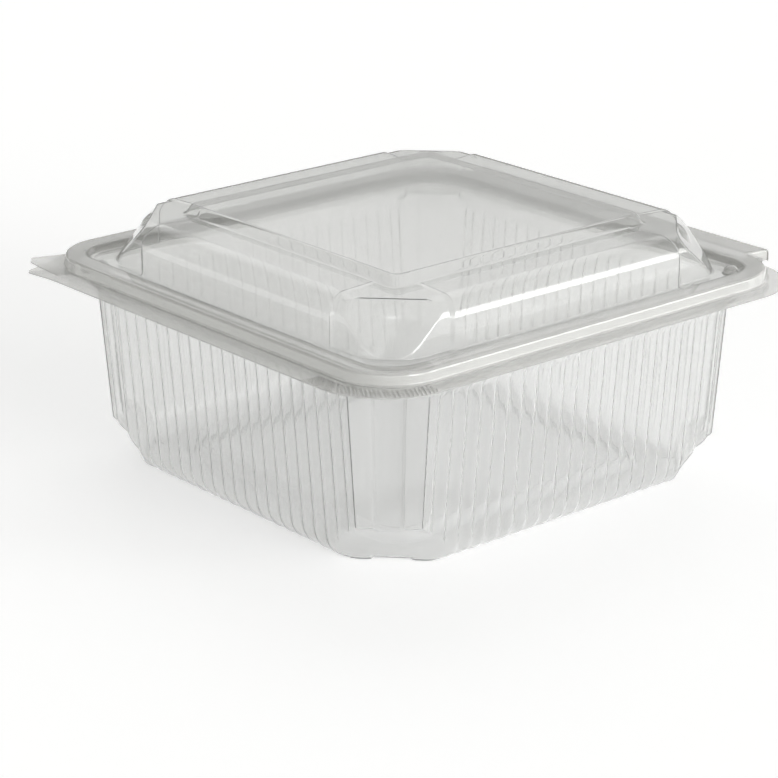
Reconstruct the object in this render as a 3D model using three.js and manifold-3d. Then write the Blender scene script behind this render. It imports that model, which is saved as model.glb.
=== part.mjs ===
import * as THREE from 'three';
import { mergeVertices } from 'three/addons/utils/BufferGeometryUtils.js';
import Module from 'manifold-3d';

// Clear hinged meal container, shut: a ribbed box and its domed lid, both of thin formed sheet
// Millimetres, Z up, standing on Z = 0, opening side at -Y, hinge along +Y

// Driving dimensions
const sheet = 0.6;              // thickness of the formed sheet
const arcSteps = 8;             // straight stretches in a rounded corner

// Box
const footHalf = 60;            // half width of the square that the box stands on
const bendRun = 6.2;            // rounded bottom edge, outwards
const bendRise = 9;             // rounded bottom edge, upwards
const wallHalf = 69.9;          // half width of the box under its rim
const wallTop = 53.5;           // top of the straight walls
const footLeg = 13.3;           // leg of the cut corners at the foot
const bendLeg = 12.2;           // the same above the rounded bottom edge
const wallLeg = 15.3;           // the same at the top
const ribCount = 22;            // upright ribs on each side
const ribDepth = 1.1;
const ribMargin = 0.5;          // plain strip beside each cut corner
const ribTop = 51.5;            // height where the ribs end
const panelHalf = 45.3;         // raised panel of the floor
const panelFootHalf = 47;
const panelRise = 3;
const flangeReach = [79.2, 80.9, 79.2, 80.7];   // flange edge towards +X, +Y, -X and -Y
const flangeRadius = 21.5;
const flangeZ = 55.4;           // underside of the flange

// Rim bead, shared by box and lid
const beadCentre = 58;          // centre of every rounded bead corner, from both middle planes
const crownHalf = 70.4;         // inner line of the box's hollow rim crown
const crownTop = 58.7;          // underside of that crown
const crownOuter = 72.9;

// Lid
const lipZ = 57;                // lowest edge of the lid, top face
const lipHalf = 75.8;
const crestHalf = 74.5;
const crestZ = 60.3;
const grooveHalf = 67.4;
const grooveZ = 58.3;
const pillarHalf = 63;          // plain corner pillars of the lid's wall
const pillarCentre = 51;        // centre of the pillars' rounding
const panelProud = 1.1;         // how far each side panel stands out from the pillars
const panelEnd = 41;            // half length of a side panel at its foot
const panelStep = 1.2;          // length of the sloped end of a panel
const shoulderZ = 71.8;
const facetFoot = { reach: 84.1, z: 59 };       // flat that cuts each lid corner, foot and head
const facetHead = { reach: 73.9, z: 71.5 };
const plateauHalf = 44.7;       // raised square on top
const plateauFootHalf = 46.5;
const plateauZ = 74.8;

// Hinge strip along +Y, where the lid folds down to the flange
const hingeHalf = 57.6;
const hingeFlare = 1.9;
const hingeReach = 82.5;

// Pull tabs at the corner between -X and -Y
const tabX = 75;                // tab edges, from the middle planes
const tabY = 80.7;
const tabTip = 26.4;            // reach of the blunt tip from the corner's centre
const boxTabDrop = 0.8;
const lidTabLift = 1.4;
const lidTabFoot = 52.5;        // where the lid's tab leaves its front edge

// Round button on the lid, at the corner between +X and +Y
const button = { x: 64, y: 62, radius: 2.1, foot: 57.9, top: 60.9 };

const sides = [0, 1, 2, 3];     // +X, +Y, -X and -Y
const back = 1;
const front = 3;
const tabCorner = 2;

const lerp = THREE.MathUtils.lerp;

// A point beside side k: along it anticlockwise, and out from the axis
function onSide(k, along, out, z) {
  const point = new THREE.Vector3(out, along, z);
  return point.applyAxisAngle(new THREE.Vector3(0, 0, 1), k * Math.PI / 2);
}

// A point at the corner after side k: across its diagonal, and out along it
function onCorner(k, across, out, z) {
  const point = new THREE.Vector3(out, across, z);
  return point.applyAxisAngle(new THREE.Vector3(0, 0, 1), (k + 0.5) * Math.PI / 2);
}

// The rounded corner after side k, cut off flat at a given reach, or drawn out into a tab
function roundedCorner(k, ring) {
  const { reach, radius, z, cut = Infinity, tab } = ring;
  const alongCentre = reach[(k + 1) % 4] - radius;
  const outCentre = reach[k] - radius;
  const diagonal = onCorner(k, 0, 1, 0);
  const points = [];
  for (let i = 0; i <= arcSteps; i += 1) {
    const turn = (i / arcSteps) * Math.PI / 2;
    const spread = tab && k === tabCorner ? tabSpread(turn, alongCentre, outCentre, radius) : radius;
    const lift = tab ? tab * (spread - radius) / (tabTip - radius) : 0;
    const along = alongCentre + spread * Math.sin(turn);
    const out = outCentre + spread * Math.cos(turn);
    const point = onSide(k, along, out, z + lift);
    const excess = Math.max(0, point.dot(diagonal) - cut);
    points.push(point.addScaledVector(diagonal, -excess));
  }
  return points;
}

// Distance from the corner's centre to the outline of the tab
function tabSpread(turn, alongCentre, outCentre, radius) {
  const toX = (tabX - outCentre) / Math.max(Math.cos(turn), 0.01);
  const toY = (tabY - alongCentre) / Math.max(Math.sin(turn), 0.01);
  return Math.max(radius, Math.min(toX, toY, tabTip));
}

// A closed loop round the axis: four straight sides, each with a middle stretch that may stand
// proud or higher, and four rounded corners
function roundedLoop(ring) {
  const { reach, z, end = 30, step = panelStep, proud = 0, rise = 0, strip, foot } = ring;
  return sides.flatMap((k) => {
    const onStrip = strip !== undefined && k === back;
    const inner = onStrip ? hingeHalf : end;
    const flare = onStrip ? hingeFlare : 0;
    const out = onStrip ? strip : reach[k] + proud;
    const start = foot !== undefined && k === front ? foot : inner + step;
    return [
      onSide(k, -start, reach[k], z),
      onSide(k, -inner - flare, out, z + rise),
      onSide(k, inner + flare, out, z + rise),
      onSide(k, inner + step, reach[k], z),
      ...roundedCorner(k, ring),
    ];
  });
}

// A closed loop of the ribbed wall: zigzag ribs between cut corners with a sunk upright panel
function ribbedLoop({ half, leg, z, depth, sunkHalf, sunk }) {
  const sideEnd = half - leg;
  const ribEnd = sideEnd - ribMargin;
  const cornerReach = (half + sideEnd) / Math.SQRT2;
  const slope = 0.9;            // width of the sunk panel's side walls
  return sides.flatMap((k) => {
    const points = [onSide(k, -sideEnd, half, z)];
    for (let i = 0; i <= 2 * ribCount; i += 1) {
      const along = lerp(-ribEnd, ribEnd, i / (2 * ribCount));
      points.push(onSide(k, along, i % 2 ? half : half - depth, z));
    }
    points.push(onSide(k, sideEnd, half, z));
    points.push(onCorner(k, -sunkHalf, cornerReach, z));
    points.push(onCorner(k, -sunkHalf + slope, cornerReach - sunk, z));
    points.push(onCorner(k, sunkHalf - slope, cornerReach - sunk, z));
    points.push(onCorner(k, sunkHalf, cornerReach, z));
    return points;
  });
}

const direction = (point) => Math.atan2(point.y, point.x);

// The direction of each point of a loop from a starting one, running on past half a turn
function unrolled(loop, start) {
  let last = 0;
  return loop.map((point) => {
    const turned = direction(point) - start - last;
    last += turned - 2 * Math.PI * Math.round(turned / (2 * Math.PI));
    return last;
  });
}

// Triangles between two loops, matched by their place or, where their counts differ, by direction
function bridge(lower, upper) {
  const facets = [];
  const sameCount = lower.length === upper.length;
  const start = direction(lower[0]);
  const lowerAt = sameCount ? lower.map((point, i) => i) : unrolled(lower, start);
  const upperAt = sameCount ? upper.map((point, i) => i) : unrolled(upper, start);
  const full = sameCount ? lower.length : 2 * Math.PI;
  let i = 0;
  let j = 0;
  while (i < lower.length || j < upper.length) {
    const nextLower = i + 1 < lower.length ? lowerAt[i + 1] : lowerAt[0] + full;
    const nextUpper = j + 1 < upper.length ? upperAt[j + 1] : upperAt[0] + full;
    const a = lower[i % lower.length];
    const b = upper[j % upper.length];
    if (j >= upper.length || (i < lower.length && nextLower <= nextUpper)) {
      facets.push([a, lower[(i + 1) % lower.length], b]);
      i += 1;
    } else {
      facets.push([a, upper[(j + 1) % upper.length], b]);
      j += 1;
    }
  }
  return facets;
}

// Moves every point of an open surface back along its normals by the thickness of the sheet
function thicken(facets, thickness) {
  const points = new Map();
  for (const facet of facets) {
    const normal = new THREE.Triangle(...facet).getNormal(new THREE.Vector3());
    facet.forEach((point, i) => {
      const toNext = facet[(i + 1) % 3].clone().sub(point);
      const toLast = facet[(i + 2) % 3].clone().sub(point);
      const entry = points.get(point) ?? { sum: new THREE.Vector3(), faces: [] };
      const angle = toNext.angleTo(toLast);
      entry.sum.addScaledVector(normal, angle);
      entry.faces.push({ normal, angle });
      points.set(point, entry);
    });
  }
  const moved = new Map();
  for (const [point, { sum, faces }] of points) {
    const normal = sum.clone().normalize();
    const total = faces.reduce((sofar, face) => sofar + face.angle, 0);
    const facing = faces.reduce((sofar, face) => sofar + face.angle * face.normal.dot(normal), 0);
    const reach = thickness / Math.max(0.7, facing / total);
    moved.set(point, point.clone().addScaledVector(normal, -reach));
  }
  return moved;
}

// A closed solid sheet from loops and an optional cap at either end of them
function formedSheet(loops, { capFirst, capLast }) {
  const fan = (loop, centre) => loop.map((point, i) => [point, loop[(i + 1) % loop.length], centre]);
  const flip = ([a, b, c]) => [c, b, a];
  const facets = loops.slice(1).flatMap((loop, i) => bridge(loops[i], loop));
  if (capFirst) facets.push(...fan(loops[0], capFirst).map(flip));
  if (capLast) facets.push(...fan(loops[loops.length - 1], capLast));
  const moved = thicken(facets, sheet);
  const edge = capFirst ? loops[loops.length - 1] : loops[0];
  const behindEdge = edge.map((point) => moved.get(point));
  const behind = facets.map((facet) => flip(facet.map((point) => moved.get(point))));
  const rim = capFirst ? bridge(edge, behindEdge) : bridge(behindEdge, edge);
  return geometryFrom([...facets, ...behind, ...rim]);
}

function geometryFrom(facets) {
  const geometry = new THREE.BufferGeometry();
  geometry.setFromPoints(facets.flat());
  return mergeVertices(geometry, 1e-4);
}

const all = (value) => [value, value, value, value];

// Bead loops are rounded about one centre, so their walls stay parallel round the corners
function beadLoop(half, z, more = {}) {
  return roundedLoop({ reach: all(half), radius: half - beadCentre, z, ...more });
}

function boxGeometry() {
  const wallAt = (z) => {
    const t = Math.min(1, z / bendRise);
    const bend = bendRun * Math.sqrt(1 - (1 - t) * (1 - t));
    const upright = Math.max(0, (z - bendRise) / (wallTop - bendRise));
    return {
      z,
      half: lerp(footHalf + bend, wallHalf, upright),
      leg: lerp(lerp(footLeg, bendLeg, t), wallLeg, upright),
      depth: lerp(0.4, ribDepth, t),
      sunkHalf: lerp(lerp(6, 4.1, t), 4.8, upright),
      sunk: lerp(lerp(3.4, 1.8, t), 1.6, upright),
    };
  };
  const cornerCut = (2 * wallHalf - wallLeg) / Math.SQRT2;
  const loops = [
    roundedLoop({ reach: all(panelHalf), radius: 6, z: panelRise }),
    roundedLoop({ reach: all(panelFootHalf), radius: 7.7, z: 0 }),
    ribbedLoop(wallAt(0)),
    ribbedLoop(wallAt(0.9)),
    ribbedLoop(wallAt(3.4)),
    ribbedLoop(wallAt(bendRise)),
    ribbedLoop(wallAt(ribTop)),
    beadLoop(wallHalf, wallTop, { cut: cornerCut }),
    beadLoop(crownHalf, wallTop + 1),
    beadLoop(crownHalf, crownTop - 0.5),
    beadLoop(crownHalf + 0.6, crownTop),
    beadLoop(crownOuter - 0.5, crownTop),
    beadLoop(crownOuter, crownTop - 0.5),
    beadLoop(crownOuter, flangeZ),
    roundedLoop({ reach: flangeReach, radius: flangeRadius, z: flangeZ, tab: -boxTabDrop }),
  ];
  return formedSheet(loops, { capFirst: new THREE.Vector3(0, 0, panelRise) });
}

// One loop of the lid's wall and shoulder, drawn in from the wall and cut by the corner facets
function domeLoop({ inwards, z, end, proud, rise }) {
  const half = pillarHalf - inwards;
  const t = (z - facetFoot.z) / (facetHead.z - facetFoot.z);
  const cut = lerp(facetFoot.reach, facetHead.reach, t);
  return roundedLoop({ reach: all(half), radius: half - pillarCentre, z, cut, end, proud, rise });
}

function lidGeometry() {
  const loops = [
    beadLoop(lipHalf, lipZ, { strip: hingeReach, tab: lidTabLift, foot: lidTabFoot, step: 0.3 }),
    beadLoop(lipHalf - 0.8, lipZ + 0.2, { strip: hingeReach - 0.1, foot: lidTabFoot, step: 0.3 }),
    beadLoop(crestHalf, crestZ - 0.5, { strip: hingeReach - 0.2, step: 0.3 }),
    beadLoop(crestHalf - 0.7, crestZ, { strip: hingeReach - 0.8, step: 0.3 }),
    beadLoop(grooveHalf + 1.6, crestZ),
    beadLoop(grooveHalf + 0.9, crestZ - 0.3),
    beadLoop(grooveHalf, grooveZ),
    domeLoop({ inwards: 0, z: grooveZ + 0.3, end: panelEnd, proud: panelProud }),
    domeLoop({ inwards: 0, z: 66, end: panelEnd, proud: panelProud }),
    domeLoop({ inwards: 0.6, z: 68.4, end: panelEnd - 0.5, proud: panelProud }),
    domeLoop({ inwards: 2.4, z: 70.6, end: panelEnd - 3, proud: 0.8, rise: 0.2 }),
    domeLoop({ inwards: 5.1, z: shoulderZ, end: panelEnd - 4.6, proud: 0.4, rise: 0.4 }),
    roundedLoop({ reach: all(plateauFootHalf), radius: 3, z: shoulderZ, end: panelEnd, rise: 0.4 }),
    roundedLoop({ reach: all(plateauHalf + 0.1), radius: 2.2, z: plateauZ - 0.3 }),
    roundedLoop({ reach: all(plateauHalf - 0.5), radius: 2, z: plateauZ }),
  ];
  return formedSheet(loops, { capLast: new THREE.Vector3(0, 0, plateauZ) });
}

function buttonGeometry() {
  const { x, y, radius, foot, top } = button;
  const profile = [
    new THREE.Vector2(0, foot),
    new THREE.Vector2(radius, foot),
    new THREE.Vector2(radius * 0.9, top - 0.5),
    new THREE.Vector2(radius * 0.6, top),
    new THREE.Vector2(0, top),
  ];
  const geometry = new THREE.LatheGeometry(profile, 16);
  return geometry.rotateX(Math.PI / 2).translate(x, y, 0);
}

const wasm = await Module();
wasm.setup();

function toSolid(geometry) {
  geometry.deleteAttribute('normal');
  geometry.deleteAttribute('uv');
  const merged = mergeVertices(geometry, 1e-4);
  const vertProperties = new Float32Array(merged.attributes.position.array);
  const triVerts = new Uint32Array(merged.index.array);
  return new wasm.Manifold(new wasm.Mesh({ numProp: 3, vertProperties, triVerts }));
}

function toGeometry(solid) {
  const { vertProperties, triVerts } = solid.getMesh();
  const geometry = new THREE.BufferGeometry();
  geometry.setAttribute('position', new THREE.BufferAttribute(vertProperties, 3));
  geometry.setIndex(new THREE.BufferAttribute(triVerts, 1));
  return geometry;
}

function namedMesh(name, geometry, color) {
  const material = new THREE.MeshStandardMaterial({ color, roughness: 0.08, metalness: 0 });
  const mesh = new THREE.Mesh(geometry, material);
  mesh.name = name;
  return mesh;
}

const container = new THREE.Group();
container.add(namedMesh('box', boxGeometry(), '#dfe2dd'));
container.add(namedMesh('lid', toGeometry(toSolid(lidGeometry()).add(toSolid(buttonGeometry()))), '#e4e6e3'));

// The origin lies below the middle of the whole, between the tabs' edge and the hinge
container.position.y = (tabY - hingeReach) / 2;

export default container;
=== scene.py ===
import math
import bpy
import numpy as np
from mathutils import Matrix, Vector


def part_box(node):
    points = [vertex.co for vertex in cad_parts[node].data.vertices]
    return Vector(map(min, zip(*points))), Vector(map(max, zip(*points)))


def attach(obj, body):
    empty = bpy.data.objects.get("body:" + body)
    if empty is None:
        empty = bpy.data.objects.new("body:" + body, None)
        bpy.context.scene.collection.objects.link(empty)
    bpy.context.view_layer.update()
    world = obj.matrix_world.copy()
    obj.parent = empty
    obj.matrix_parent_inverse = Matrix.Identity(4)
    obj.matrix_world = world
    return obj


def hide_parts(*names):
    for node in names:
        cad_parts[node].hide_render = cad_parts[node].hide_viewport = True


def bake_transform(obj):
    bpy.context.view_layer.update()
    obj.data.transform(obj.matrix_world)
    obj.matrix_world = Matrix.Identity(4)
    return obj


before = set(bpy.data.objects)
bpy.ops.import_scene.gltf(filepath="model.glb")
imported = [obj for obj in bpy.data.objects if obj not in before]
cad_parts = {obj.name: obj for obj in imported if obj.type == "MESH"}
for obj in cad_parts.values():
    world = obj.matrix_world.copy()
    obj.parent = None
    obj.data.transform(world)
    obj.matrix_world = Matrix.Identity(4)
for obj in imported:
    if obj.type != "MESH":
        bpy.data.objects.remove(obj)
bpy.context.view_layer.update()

mm = 0.001

# The walls' middle lies a little in front of the origin; the box's front edge says how far
frontEdge = 80.7
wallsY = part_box("box")[0][1] / mm + frontEdge
print("frame loaded, walls' middle at y", round(wallsY, 2), "mm")

# Camera, at the photograph's angle
cameraSettings = {
    "azimuth": 49.5,         # degrees from -Y towards +X
    "elevation": 19.71,
    "distance": 807.2,       # mm from the target
    "target": (-4.34, -5.08, 21.0),
    "lens": 130.5,           # on a 36 mm sensor, for a square picture
}


def makeCamera(settings):
    azimuth = math.radians(settings["azimuth"])
    elevation = math.radians(settings["elevation"])
    away = Vector((math.sin(azimuth) * math.cos(elevation), -math.cos(azimuth) * math.cos(elevation),
                   math.sin(elevation)))
    x, y, z = settings["target"]
    target = Vector((x, y + wallsY, z))
    data = bpy.data.cameras.new("photoCamera")
    data.lens = settings["lens"]
    data.sensor_width = 36
    data.clip_start = 0.01
    camera = bpy.data.objects.new("photoCamera", data)
    camera.location = (target + away * settings["distance"]) * mm
    camera.rotation_euler = away.to_track_quat("Z", "Y").to_euler()
    bpy.context.scene.collection.objects.link(camera)
    bpy.context.scene.camera = camera


makeCamera(cameraSettings)
print("camera placed")


# Clear plastic sheet, with a little haze and slow waves where it was stretched into the mould
sheetLook = {
    "colour": (0.94, 0.943, 0.938, 1),
    "transmission": 0.91,
    "ior": 1.5,
    "roughness": 0.05,
    "haze": 0.03,            # roughness added where the sheet is hazy
    "hazeRange": (0.45, 0.75),
    "waveSize": 60,          # waves per metre
    "waveDetail": 2,
    "waveStrength": 0.03,
    "waveHeight": 0.0004,    # in metres
}


def clearSheet(name, look):
    material = bpy.data.materials.new(name)
    material.use_nodes = True
    nodes, links = material.node_tree.nodes, material.node_tree.links
    shader = nodes["Principled BSDF"]
    shader.inputs["Base Color"].default_value = look["colour"]
    shader.inputs["IOR"].default_value = look["ior"]
    shader.inputs["Transmission Weight"].default_value = look["transmission"]
    place = nodes.new("ShaderNodeTexCoord")
    waves = nodes.new("ShaderNodeTexNoise")
    waves.inputs["Scale"].default_value = look["waveSize"]
    waves.inputs["Detail"].default_value = look["waveDetail"]
    links.new(place.outputs["Object"], waves.inputs["Vector"])
    bump = nodes.new("ShaderNodeBump")
    bump.inputs["Strength"].default_value = look["waveStrength"]
    bump.inputs["Distance"].default_value = look["waveHeight"]
    links.new(waves.outputs["Fac"], bump.inputs["Height"])
    links.new(bump.outputs["Normal"], shader.inputs["Normal"])
    haze = nodes.new("ShaderNodeMapRange")
    haze.inputs["From Min"].default_value, haze.inputs["From Max"].default_value = look["hazeRange"]
    haze.inputs["To Min"].default_value = look["roughness"]
    haze.inputs["To Max"].default_value = look["roughness"] + look["haze"]
    links.new(waves.outputs["Fac"], haze.inputs["Value"])
    links.new(haze.outputs["Result"], shader.inputs["Roughness"])
    return material


# The rim and tabs are cloudier than the walls; the lid's sheet is painted darker than the box's, as painted
# shade for the shade seen through the lid
rimLook = {**sheetLook, "colour": (0.945, 0.945, 0.93, 1), "transmission": 0.76, "roughness": 0.06}

# painted shade: the lid's darker colour stands in for shade seen through it, not for a darker plastic
lidShadedLook = {**sheetLook, "colour": (0.88, 0.883, 0.873, 1), "roughness": 0.03}

clearPlastic = clearSheet("clearPlastic", sheetLook)
lidShadedPlastic = clearSheet("lidShadedPlastic", lidShadedLook)
rimPlastic = clearSheet("rimPlastic", rimLook)
print("materials made")


# Sheet forms: a ring is a closed row of points round the Z axis, in mm, anticlockwise from above,
# with the sides in the order +X, +Y, -X, -Y, and the corner after each side
def turned(along, out, z, side):
    angle = side * math.pi / 2
    return np.stack([out * math.cos(angle) - along * math.sin(angle),
                     out * math.sin(angle) + along * math.cos(angle), z], axis=-1)


def smooth(t):
    t = np.clip(t, 0, 1)
    return t * t * (3 - 2 * t)


def mix(a, b, t):
    return a + (b - a) * t


# Cuts a ring off along a line across each corner, with a small rounding at both ends of the cut
def cutCorners(ring, cut, softness):
    for diagonal in (1, 1), (-1, 1), (-1, -1), (1, -1):
        way = np.array([*diagonal, 0]) / math.sqrt(2)
        beyond = np.clip((ring @ way - cut) / softness, -30, 30)
        ring = ring - (softness * np.log1p(np.exp(beyond)))[:, None] * way
    return ring


# Rows of rings become finer rows whose bends are rounded, each bend with its own radius
def roundProfile(rings, radii, steps=6):
    rows = [rings[0]]
    for before, ring, after, radius in zip(rings, rings[1:], rings[2:], radii):
        if radius == 0:
            rows.append(ring)
            continue
        toBefore, toAfter = before - ring, after - ring
        lengthBefore = np.linalg.norm(toBefore, axis=1, keepdims=True) + 1e-9
        lengthAfter = np.linalg.norm(toAfter, axis=1, keepdims=True) + 1e-9
        start = ring + toBefore * np.minimum(radius / lengthBefore, 0.48)
        end = ring + toAfter * np.minimum(radius / lengthAfter, 0.48)
        for t in np.linspace(0, 1, steps):
            rows.append(start * (1 - t) ** 2 + ring * 2 * t * (1 - t) + end * t * t)
    rows.append(rings[-1])
    return rows


# The middle of a flat square, as shrinking copies of its ring
def flatMiddle(ring, z, rise, shares=(0.85, 0.68, 0.5, 0.32, 0.15, 0.03)):
    rows = []
    for share in shares:
        row = ring * share
        row[:, 2] = z + rise * (1 - share * share)
        rows.append(row)
    return rows


def meshObject(name, points, faces, material, body, cornerNormals=None):
    mesh = bpy.data.meshes.new(name)
    mesh.from_pydata((points * mm).tolist(), [], faces)
    mesh.polygons.foreach_set("use_smooth", [True] * len(mesh.polygons))
    mesh.materials.append(material)
    mesh.update()
    if cornerNormals is not None:
        mesh.normals_split_custom_set(cornerNormals)
    piece = bpy.data.objects.new(name, mesh)
    bpy.context.scene.collection.objects.link(piece)
    if body:
        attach(piece, body)
    return piece


# Gives an open surface a second face behind it; quads are rows of four point numbers.
# Large flat faces weigh most in the normals, so they stay flat up to their rounded edges
def thickened(points, quads, cap, edge, thickness):
    a, b, c, d = (points[quads[:, k]] for k in range(4))
    faceNormals = np.cross(c - a, d - b)
    normals = np.zeros_like(points)
    for k in range(4):
        np.add.at(normals, quads[:, k], faceNormals)
    normals /= np.linalg.norm(normals, axis=1, keepdims=True) + 1e-9
    behind = points - normals * thickness
    count = len(points)
    capBehind = [count + i for i in reversed(cap)]
    faces = quads.tolist() + [cap] + (quads[:, ::-1] + count).tolist() + [capBehind]
    both = np.concatenate([points, behind])
    bothNormals = np.concatenate([normals, -normals])
    corners = np.concatenate([quads.ravel(), cap, (quads[:, ::-1] + count).ravel(), capBehind])
    cornerNormals = bothNormals[corners]
    nextEdge = edge[1:] + edge[:1]
    cutEdge = np.array([[i, i + count, j + count, j] for i, j in zip(edge, nextEdge)])
    a, b, c, d = (both[cutEdge[:, k]] for k in range(4))
    cutNormals = np.cross(c - a, d - b)
    cutNormals /= np.linalg.norm(cutNormals, axis=1, keepdims=True) + 1e-9
    cornerNormals = np.concatenate([cornerNormals, np.repeat(cutNormals, 4, axis=0)])
    return both, faces + cutEdge.tolist(), cornerNormals


# A closed sheet from rows of rings; the cap is its flat middle, the edge its open rim
def makeSheet(name, rows, capFirst, thickness, body, material, rimZ):
    count = len(rows[0])
    points = np.concatenate(rows) + np.array([0, wallsY, 0])
    i = np.arange(count)
    j = (i + 1) % count
    starts = count * np.arange(len(rows) - 1)
    quads = np.concatenate([np.stack([low + i, low + j, low + count + j, low + count + i], axis=1)
                            for low in starts])
    firstRow = list(range(count))
    lastRow = list(range((len(rows) - 1) * count, len(rows) * count))
    if capFirst:
        made = thickened(points, quads, firstRow[::-1], lastRow[::-1], thickness)
    else:
        made = thickened(points, quads, lastRow, firstRow, thickness)
    points, faces, cornerNormals = made
    sheet = meshObject(name, points, faces, material, body, cornerNormals)
    sheet.data.materials.append(rimPlastic)
    for face in sheet.data.polygons:
        x, y, z = face.center / mm
        if rimZ[0] < z < rimZ[1] and max(abs(x), abs(y - wallsY)) > rimForm["inner"]:
            face.material_index = 1
    return sheet


# Box: ribbed walls between cut corners, a raised floor panel, and a rim with a hollow crown
boxForm = {
    "sheet": 0.3,
    "footHalf": 60.0, "bendRun": 6.2, "bendRise": 9.0,
    "wallHalf": 69.9, "wallTop": 53.5,
    "footLeg": 13.3, "bendLeg": 12.2, "wallLeg": 15.3,
    # each cut corner has a sunk band; its half width and depth at the foot, the bend and the top
    "sunkHalf": (6.0, 4.1, 4.8), "sunk": (3.4, 1.8, 1.6), "sunkEdge": 1.1,
    "ribPitch": 4.93, "ribDepth": 1.1, "ribTop": 51.8, "ribFade": 3, "ribEnds": 1.2, "footRib": 0.35,
    "panelHalf": 45.3, "panelFootHalf": 47.0, "panelRise": 3.0, "panelRadii": (6, 7.7, 10), "panelDome": 0.15,
    "crownHalf": 70.4, "crownTop": 58.7, "crownOuter": 72.9,
    "flangeX": 79.2, "flangeBack": 80.9, "flangeFront": 80.7, "flangeRadius": 21.5, "flangeZ": 55.4,
    "tabDrop": 0.8,
    # the corners' feet are cut off below cutTop; the reach of the cut at the floor and at its top
    "cutTop": 13.4, "cutFloor": 75.2, "cutHead": 85.6, "cutCurve": 1.8, "cutSoftness": 0.25,
    "floorBends": [0.7, 0.7], "rimBends": [0.3, 0.5, 0.8, 0.8, 0.5],
}
rimForm = {
    "inner": 66.6, "beadCentre": 58.0, "tabX": 75.0, "tabY": 80.7, "tabTip": 26.4,
    "boxZ": (54.3, 62), "lidZ": (50, 60.6),    # the heights at which the sheets are cloudy
}
boxSide, boxCorner = 176, 36     # points along a side and round a corner
tabCorner, back, front = 2, 1, 3


# Reach of a rounded corner from its centre, drawn out where it is a tab with a blunt tip
def cornerSpread(turn, radius, alongCentre, outCentre, isTab):
    if not isTab:
        return np.full_like(turn, radius)
    toX = (rimForm["tabX"] - outCentre) / np.maximum(np.cos(turn), 0.01)
    toY = (rimForm["tabY"] - alongCentre) / np.maximum(np.sin(turn), 0.01)
    return np.maximum(radius, np.minimum(np.minimum(toX, toY), rimForm["tabTip"]))


def roundedCorner(reach, radius, z, side, count, cut=None, tab=0.0):
    turn = (np.arange(count) + 0.5) / count * math.pi / 2
    alongCentre, outCentre = reach[(side + 1) % 4] - radius, reach[side] - radius
    spread = cornerSpread(turn, radius, alongCentre, outCentre, tab != 0 and side == tabCorner)
    lift = tab * (spread - radius) / (rimForm["tabTip"] - radius)
    along, out = alongCentre + spread * np.sin(turn), outCentre + spread * np.cos(turn)
    if cut is not None:
        excess = np.maximum(0, (along + out) / math.sqrt(2) - cut) / math.sqrt(2)
        along, out = along - excess, out - excess
    return turned(along, out, z + lift, side)


def plainBoxRing(reach, radius, z, cut=None, tab=0.0):
    parts = []
    for side in range(4):
        start, end = reach[side - 1] - radius, reach[(side + 1) % 4] - radius
        along = mix(-start, end, np.arange(boxSide + 1) / boxSide)
        flat = np.full_like(along, 1.0)
        parts.append(turned(along, flat * reach[side], flat * z, side))
        parts.append(roundedCorner(reach, radius, z, side, boxCorner, cut, tab))
    return np.concatenate(parts)


# A value that goes from the foot over the bend to the wall's top
def overHeight(values, bent, upright):
    foot, bend, top = values
    return mix(mix(foot, bend, bent), top, upright)


def wallAt(z):
    form = boxForm
    t = min(1.0, z / form["bendRise"])
    upright = max(0.0, (z - form["bendRise"]) / (form["wallTop"] - form["bendRise"]))
    bend = form["bendRun"] * math.sqrt(1 - (1 - t) ** 2)
    return {
        "half": mix(form["footHalf"] + bend, form["wallHalf"], upright),
        "leg": overHeight((form["footLeg"], form["bendLeg"], form["wallLeg"]), t, upright),
        "sunkHalf": overHeight(form["sunkHalf"], t, upright),
        "sunk": overHeight(form["sunk"], t, upright),
    }


def ribbedRing(z, depth):
    wall = wallAt(z)
    half, sideEnd = wall["half"], wall["half"] - wall["leg"]
    parts = []
    for side in range(4):
        along = mix(-sideEnd, sideEnd, np.arange(boxSide + 1) / boxSide)
        crest = np.sin(math.pi * along / boxForm["ribPitch"]) ** 2
        ends = smooth((sideEnd - np.abs(along)) / boxForm["ribEnds"])
        out = half - depth * (1 - crest) * ends
        parts.append(turned(along, out, np.full_like(along, z), side))
        share = (np.arange(boxCorner) + 0.5) / boxCorner * 2 - 1
        width = wall["leg"] / math.sqrt(2)
        across = share * width
        reach = (half + sideEnd) / math.sqrt(2)
        sunk = wall["sunk"] * smooth((wall["sunkHalf"] - np.abs(across)) / boxForm["sunkEdge"])
        cornerAlong = (reach - sunk + across) / math.sqrt(2)
        cornerOut = (reach - sunk - across) / math.sqrt(2)
        parts.append(turned(cornerAlong, cornerOut, np.full_like(cornerAlong, z), side))
    ring = np.concatenate(parts)
    if z < boxForm["cutTop"]:
        reach = mix(boxForm["cutFloor"], boxForm["cutHead"], (z / boxForm["cutTop"]) ** boxForm["cutCurve"])
        ring = cutCorners(ring, reach, boxForm["cutSoftness"])
    return ring


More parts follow.
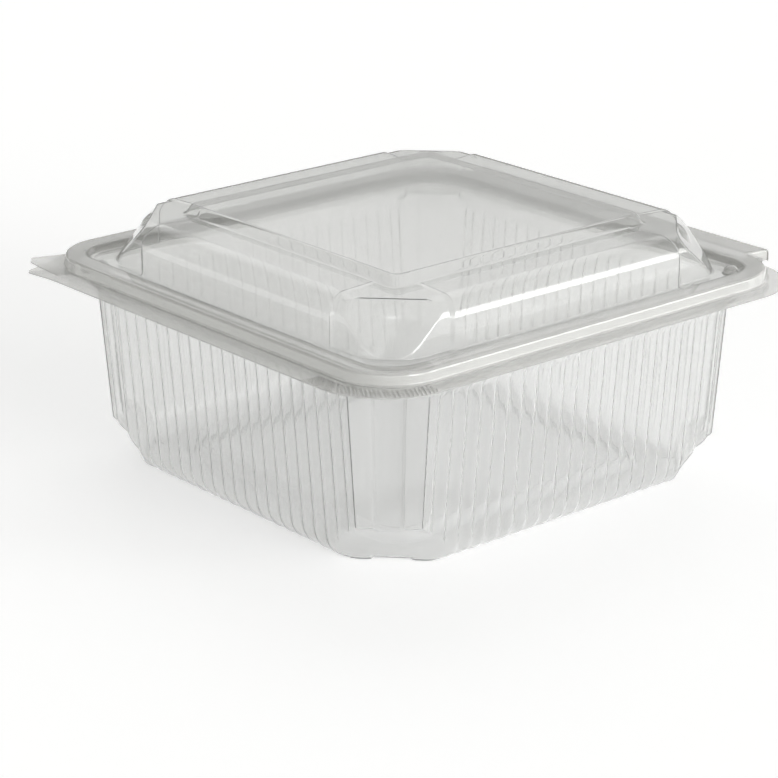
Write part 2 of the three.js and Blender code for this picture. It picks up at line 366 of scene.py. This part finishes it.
def boxRows():
    form, centre = boxForm, rimForm["beadCentre"]
    square = lambda half: [half] * 4
    bead = lambda half, z, **more: plainBoxRing(square(half), half - centre, z, **more)
    panelRadius, panelFootRadius, floorRadius = form["panelRadii"]
    panel = plainBoxRing(square(form["panelHalf"]), panelRadius, form["panelRise"])
    floor = roundProfile([
        panel * np.array([0.95, 0.95, 1]),
        panel,
        plainBoxRing(square(form["panelFootHalf"]), panelFootRadius, 0),
        mix(plainBoxRing(square(form["panelFootHalf"] + 3), floorRadius, 0), ribbedRing(0, 0.3), 0.3),
    ], form["floorBends"])
    bends = [form["bendRise"] * (1 - math.cos(a)) for a in np.radians(np.linspace(0, 90, 10))]
    foot = [ribbedRing(z, form["ribDepth"] * mix(form["footRib"], 1, smooth(z / form["bendRise"])))
            for z in bends]
    fadeFrom = form["ribTop"] - form["ribFade"]
    heights = [*np.linspace(form["bendRise"], form["cutTop"], 6)[1:],
               *np.linspace(form["cutTop"], fadeFrom, 12)[1:]]
    walls = [ribbedRing(z, form["ribDepth"]) for z in heights]
    fade = [ribbedRing(z, form["ribDepth"] * (1 - smooth((z - fadeFrom) / form["ribFade"])))
            for z in np.linspace(fadeFrom, form["ribTop"], 6)[1:]]
    cornerCut = (2 * form["wallHalf"] - form["wallLeg"]) / math.sqrt(2)
    rim = roundProfile([
        bead(form["wallHalf"], form["wallTop"] - 0.7, cut=cornerCut),
        bead(form["wallHalf"] + 0.1, form["wallTop"] + 0.3, cut=cornerCut + 0.3),
        bead(form["crownHalf"], form["wallTop"] + 1.0),
        bead(form["crownHalf"], form["crownTop"]),
        bead(form["crownOuter"], form["crownTop"]),
        bead(form["crownOuter"], form["flangeZ"]),
        plainBoxRing([form["flangeX"], form["flangeBack"], form["flangeX"], form["flangeFront"]],
                     form["flangeRadius"], form["flangeZ"], tab=-form["tabDrop"]),
    ], form["rimBends"])
    middle = flatMiddle(panel, form["panelRise"], form["panelDome"])
    return middle[::-1] + floor + foot + walls + fade + rim


boxSheet = makeSheet("boxSheet", boxRows(), True, boxForm["sheet"], "box", clearPlastic, rimForm["boxZ"])
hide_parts("box")
print("box made,", len(boxSheet.data.polygons), "faces")


# Lid: bead over the box's crown, groove, panelled wall, cut corners, and a raised square on top
lidForm = {
    "sheet": 0.3,
    "lipHalf": 75.8, "lipZ": 57.0,
    "crestHalf": 74.6, "crestZ": 60.3, "crestInner": 68.6,
    "grooveHalf": 67.4, "grooveZ": 58.3,
    "pillarHalf": 63.0, "pillarCentre": 51.0,
    "panelProud": 1.1, "panelEnd": 41.0, "panelStep": 1.2,
    "shoulderZ": 71.9, "shoulderRadius": 5.4,
    "plateauHalf": 44.7, "plateauFootHalf": 46.5, "plateauZ": 74.8, "plateauDome": 0.25,
    "facetFoot": (84.1, 59.0), "facetHead": (73.9, 71.5), "facetEdge": 0.22,
    # how far a panel's ends draw in up to the shoulder, and up to the raised square
    "panelDrift": (1.5, 3.0),
    "hingeHalf": 57.6, "hingeFlare": 1.9, "hingeReach": 82.5,
    "hingeStep": 0.3, "tabLift": 1.4, "tabFoot": 52.5,
    "shoulderProud": 0.4, "shoulderRise": 0.4, "plateauFootRise": 0.25,
    "plateauRadius": 2.2, "plateauFootRadius": 3, "plateauRim": 0.02,
    "rimBends": [0.3, 1.0, 0.8, 0.8, 0.8], "plateauBends": [0.2, 0.7, 0.8],
}
sidePoints = {"start": 22, "step": 8, "panel": 60}
lidCorner = 64


def lidRing(reach, radius, z, end=None, step=None, proud=0.0, rise=0.0, strip=None, foot=None, tab=0.0):
    end = lidForm["panelEnd"] if end is None else end
    step = lidForm["panelStep"] if step is None else step
    parts = []
    stepShare = np.arange(sidePoints["step"]) / sidePoints["step"]
    for side in range(4):
        onStrip = strip is not None and side == back
        inner = lidForm["hingeHalf"] if onStrip else end
        flare = lidForm["hingeFlare"] if onStrip else 0
        high = strip if onStrip else reach[side] + proud
        lidStart = reach[side - 1] - radius
        lidEnd = reach[(side + 1) % 4] - radius
        firstStep = inner + step if foot is None or side != front else foot
        wide = inner + flare
        along = np.concatenate([
            mix(-lidStart, -firstStep, np.arange(sidePoints["start"]) / sidePoints["start"]),
            mix(-firstStep, -wide, stepShare),
            mix(-wide, wide, np.arange(sidePoints["panel"]) / sidePoints["panel"]),
            mix(wide, inner + step, stepShare),
            mix(inner + step, lidEnd, np.arange(sidePoints["start"] + 1) / sidePoints["start"]),
        ])
        share = np.concatenate([
            np.zeros(sidePoints["start"]), smooth(stepShare), np.ones(sidePoints["panel"]),
            1 - smooth(stepShare), np.zeros(sidePoints["start"] + 1)])
        out = mix(reach[side], high, share)
        parts.append(turned(along, out, z + rise * share, side))
        parts.append(roundedCorner(reach, radius, z, side, lidCorner, None, tab))
    return np.concatenate(parts)


def domeRing(inwards, z, end, proud, rise=0.0):
    form = lidForm
    half = form["pillarHalf"] - inwards
    (footReach, footZ), (headReach, headZ) = form["facetFoot"], form["facetHead"]
    cut = mix(footReach, headReach, (z - footZ) / (headZ - footZ))
    ring = lidRing([half] * 4, half - form["pillarCentre"], z, end=end, proud=proud, rise=rise)
    return cutCorners(ring, cut, form["facetEdge"])


def lidRows():
    form, centre = lidForm, rimForm["beadCentre"]
    bead = lambda half, z, **more: lidRing([half] * 4, half - centre, z, **more)
    reach, foot, step = form["hingeReach"], form["tabFoot"], form["hingeStep"]
    end, proud = form["panelEnd"], form["panelProud"]
    rim = roundProfile([
        bead(form["lipHalf"], form["lipZ"], strip=reach, tab=form["tabLift"], foot=foot, step=step),
        bead(form["lipHalf"] - 0.8, form["lipZ"] + 0.15, strip=reach - 0.1, foot=foot, step=step),
        bead(form["crestHalf"], form["crestZ"], strip=reach - 0.2, step=step),
        bead(form["crestInner"], form["crestZ"]),
        bead(form["grooveHalf"], form["grooveZ"]),
        domeRing(0, form["grooveZ"] + 0.1, end, proud),
        domeRing(0, form["grooveZ"] + 1.5, end, proud),
    ], form["rimBends"])
    rows = rim[:-1]
    wallEnd = form["shoulderZ"] - form["shoulderRadius"]
    rows += [domeRing(0, z, end, proud) for z in np.linspace(form["grooveZ"] + 1.5, wallEnd, 8)]
    shoulderDrift, plateauDrift = form["panelDrift"]
    for angle in np.radians(np.linspace(0, 90, 13)[1:]):
        t = angle / (math.pi / 2)
        radius = form["shoulderRadius"]
        rows.append(domeRing(radius * (1 - math.cos(angle)), wallEnd + radius * math.sin(angle),
                             end - shoulderDrift * smooth(t), mix(proud, form["shoulderProud"], t),
                             form["shoulderRise"] * smooth(t)))
    shoulder = rows.pop()
    inner = end - plateauDrift
    top = lidRing([form["plateauHalf"]] * 4, form["plateauRadius"], form["plateauZ"], end=inner)
    rows += roundProfile([
        rows[-1], shoulder,
        lidRing([form["plateauFootHalf"]] * 4, form["plateauFootRadius"], form["shoulderZ"], end=inner,
                rise=form["plateauFootRise"]),
        top,
        top * np.array([0.95, 0.95, 1]) + np.array([0, 0, form["plateauRim"]]),
    ], form["plateauBends"])[1:]
    return rows + flatMiddle(top, form["plateauZ"] + form["plateauRim"], form["plateauDome"])


lidSheet = makeSheet("lidSheet", lidRows(), False, lidForm["sheet"], "lid", lidShadedPlastic, rimForm["lidZ"])
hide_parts("lid")
print("lid made,", len(lidSheet.data.polygons), "faces")


# Round button pressed up out of the lid's groove, at the corner between +X and +Y
buttonForm = {
    "x": 64.0, "y": 62.0, "radius": 2.1, "foot": 58.25, "height": 2.4, "sheet": 0.3, "segments": 48,
    "skirt": [(0.5, 0.03), (0.1, 0.15)],    # how far out and how high the skirt's rings are
    "shoulder": 0.4, "roundness": 0.6,
}


def makeButton(form):
    outer = [(form["radius"] + out, height) for out, height in form["skirt"]]
    for angle in np.radians(np.linspace(0, 84, 10)):
        rise = (form["height"] - form["shoulder"]) * math.sin(angle)
        outer.append((form["radius"] * math.cos(angle) ** form["roundness"], form["shoulder"] + rise))
    inner = []
    for i, (radius, height) in enumerate(outer):
        drop = form["sheet"] * math.sin(i / len(outer) * math.pi / 2)
        inner.append((max(radius - form["sheet"], 0.05), height - drop))
    rings = outer + inner[::-1]
    count, top = form["segments"], len(outer)
    turns = np.arange(count) * 2 * math.pi / count
    points = np.array([(form["x"] + radius * math.cos(turn), form["y"] + wallsY + radius * math.sin(turn),
                        form["foot"] + height) for radius, height in rings for turn in turns])
    faces = []
    for k in range(len(rings)):
        if k == top - 1:
            continue
        low, high = k * count, (k + 1) % len(rings) * count
        faces += [[low + i, low + (i + 1) % count, high + (i + 1) % count, high + i] for i in range(count)]
    faces.append([(top - 1) * count + i for i in range(count)])
    faces.append([top * count + i for i in reversed(range(count))])
    return meshObject("lidButton", points, faces, rimPlastic, "lid")


lidButton = makeButton(buttonForm)
print("button made")


# Fine grip texture on the flange at the near corner: rows of small pyramids
gripForm = {
    "centre": (57.7, -59.2), "radii": (16.2, 20.6), "rows": 5, "pitch": 1.15,
    "straight": (7.0, 0.5),    # how far the rows go on before and after the corner
    "half": 0.46, "root": 55.35, "tip": 56.1,
}


def makeGrip(form):
    points, faces = [], []
    centre = Vector(form["centre"])
    before, after = form["straight"]
    for radius in np.linspace(*form["radii"], form["rows"]):
        arc = radius * math.pi / 2
        for run in np.arange(-before, arc + after, form["pitch"]):
            onArc = min(max(run, 0), arc)
            turn, beyond = onArc / radius, run - onArc
            way = Vector((math.sin(turn), -math.cos(turn)))
            along = Vector((math.cos(turn), math.sin(turn)))
            middle = centre + way * radius + along * beyond
            first = len(points)
            for u, v in ((-1, -1), (1, -1), (1, 1), (-1, 1)):
                corner = middle + along * u * form["half"] + way * v * form["half"]
                points.append((corner.x, corner.y + wallsY, form["root"]))
            points.append((middle.x, middle.y + wallsY, form["tip"]))
            faces += [[first + i, first + (i + 1) % 4, first + 4] for i in range(4)]
            faces.append([first + 3, first + 2, first + 1, first])
    grip = meshObject("gripTexture", np.array(points), faces, rimPlastic, "box")
    grip.data.polygons.foreach_set("use_smooth", [False] * len(grip.data.polygons))
    return grip


gripTexture = makeGrip(gripForm)
print("grip texture made")


# Hinge film: the thin fold between the box's flange and the lid's strip
filmForm = {
    "half": 57.4, "thickness": 0.25, "columns": 40,
    "foldZ": 55.4, "foldRise": 0.5,    # where the film turns from level to upright
    "path": [(80.6, 55.5), (81.2, 55.48), (81.75, 55.55), (82.15, 55.8), (82.4, 56.2), (82.45, 56.7),
             (82.45, 57.2)],
}


def makeFilm(form):
    outer = form["path"]
    inner = []
    for y, z in reversed(outer):
        upright = (z - form["foldZ"]) / form["foldRise"]
        inner.append((y - form["thickness"] * min(1, upright), z + form["thickness"] * max(0, 1 - upright)))
    profile = outer + inner
    around, count = len(profile), form["columns"]
    xs = np.linspace(-form["half"], form["half"], count)
    points = np.array([(x, y + wallsY, z) for x in xs for y, z in profile])
    faces = []
    for low in range(0, (count - 1) * around, around):
        high = low + around
        faces += [[low + i, low + (i + 1) % around, high + (i + 1) % around, high + i] for i in range(around)]
    faces += [list(range(around))[::-1], list(range((count - 1) * around, count * around))]
    film = meshObject("hingeFilm", points, faces, clearPlastic, None)
    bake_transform(film)
    return film


hingeFilm = makeFilm(filmForm)
print("hinge film made")


# Floor and light
stageLook = {
    "floorColour": (0.8, 0.8, 0.8, 1),
    "floorGlow": 0.506,                # the lit table shines through
    "floorHalf": 4.0, "floorZ": -0.0001,    # in metres
    "dim": (0.27, 0.27, 0.26, 1),      # the unlit walls of the tent
    # each light: the way to it, between which cosines its edge fades, between which heights it
    # fades upwards (above 1 it doesn't), and its strength
    "window": {"way": (1.0, -0.035, 0), "edge": (-0.6, 0.95), "top": (0.1, 0.5), "strength": 2.8},
    "lamp": {"way": (0.98, 0.08, 0.19), "edge": (0.955, 0.99), "top": (1.5, 2), "strength": 8.0},
    "strip": {"way": (0.75, 0.61, 0.19), "edge": (0.965, 0.993), "top": (1.5, 2), "strength": 5.0},
    "back": {"way": (-0.56, 0.48, 0.67), "edge": (0.8, 0.98), "top": (1.5, 2), "strength": 0.8},
    "exposure": 0.0,
}


def makeFloor(look):
    material = bpy.data.materials.new("paleFloor")
    material.use_nodes = True
    shader = material.node_tree.nodes["Principled BSDF"]
    shader.inputs["Base Color"].default_value = look["floorColour"]
    shader.inputs["Roughness"].default_value = 0.9
    shader.inputs["Specular IOR Level"].default_value = 0.1
    shader.inputs["Emission Color"].default_value = (1, 1, 1, 1)
    shader.inputs["Emission Strength"].default_value = look["floorGlow"]
    mesh = bpy.data.meshes.new("floor")
    corners = [(x * look["floorHalf"], y * look["floorHalf"], look["floorZ"])
               for x, y in ((-1, -1), (1, -1), (1, 1), (-1, 1))]
    mesh.from_pydata(corners, [], [(0, 1, 2, 3)])
    mesh.materials.append(material)
    floor = bpy.data.objects.new("floor", mesh)
    bpy.context.scene.collection.objects.link(floor)


# Light tent with dim walls: a large soft light low on the right, two small bright ones in it,
# and one high up at the back
def makeWorld(look):
    world = bpy.data.worlds.new("studio")
    bpy.context.scene.world = world
    world.use_nodes = True
    nodes, links = world.node_tree.nodes, world.node_tree.links
    place = nodes.new("ShaderNodeTexCoord")
    split = nodes.new("ShaderNodeSeparateXYZ")
    links.new(place.outputs["Generated"], split.inputs["Vector"])

    def faded(source, edge, ends):
        fade = nodes.new("ShaderNodeMapRange")
        fade.interpolation_type = "SMOOTHSTEP"
        fade.inputs["From Min"].default_value, fade.inputs["From Max"].default_value = edge
        fade.inputs["To Min"].default_value, fade.inputs["To Max"].default_value = ends
        links.new(source, fade.inputs["Value"])
        return fade.outputs["Result"]

    total = nodes.new("ShaderNodeRGB").outputs["Color"]
    total.default_value = look["dim"]
    for light in look["window"], look["lamp"], look["strip"], look["back"]:
        towards = nodes.new("ShaderNodeVectorMath")
        towards.operation = "DOT_PRODUCT"
        towards.inputs[1].default_value = Vector(light["way"]).normalized()
        links.new(place.outputs["Generated"], towards.inputs[0])
        both = nodes.new("ShaderNodeMath")
        both.operation = "MULTIPLY"
        links.new(faded(towards.outputs["Value"], light["edge"], (0, light["strength"])), both.inputs[0])
        links.new(faded(split.outputs["Z"], light["top"], (1, 0)), both.inputs[1])
        joined = nodes.new("ShaderNodeMix")
        joined.data_type = "RGBA"
        joined.blend_type = "ADD"
        joined.inputs["Factor"].default_value = 1
        links.new(total, joined.inputs["A"])
        links.new(both.outputs["Value"], joined.inputs["B"])
        total = joined.outputs["Result"]
    links.new(total, nodes["Background"].inputs["Color"])


makeFloor(stageLook)
makeWorld(stageLook)

# Light passes many layers of sheet, so it may bounce often
picture = bpy.context.scene
picture.view_settings.view_transform = "Standard"
picture.view_settings.exposure = stageLook["exposure"]
picture.cycles.use_denoising = True
picture.cycles.max_bounces = 24
picture.cycles.transmission_bounces = 24
picture.cycles.glossy_bounces = 8
picture.cycles.sample_clamp_indirect = 4
print("floor and light made")
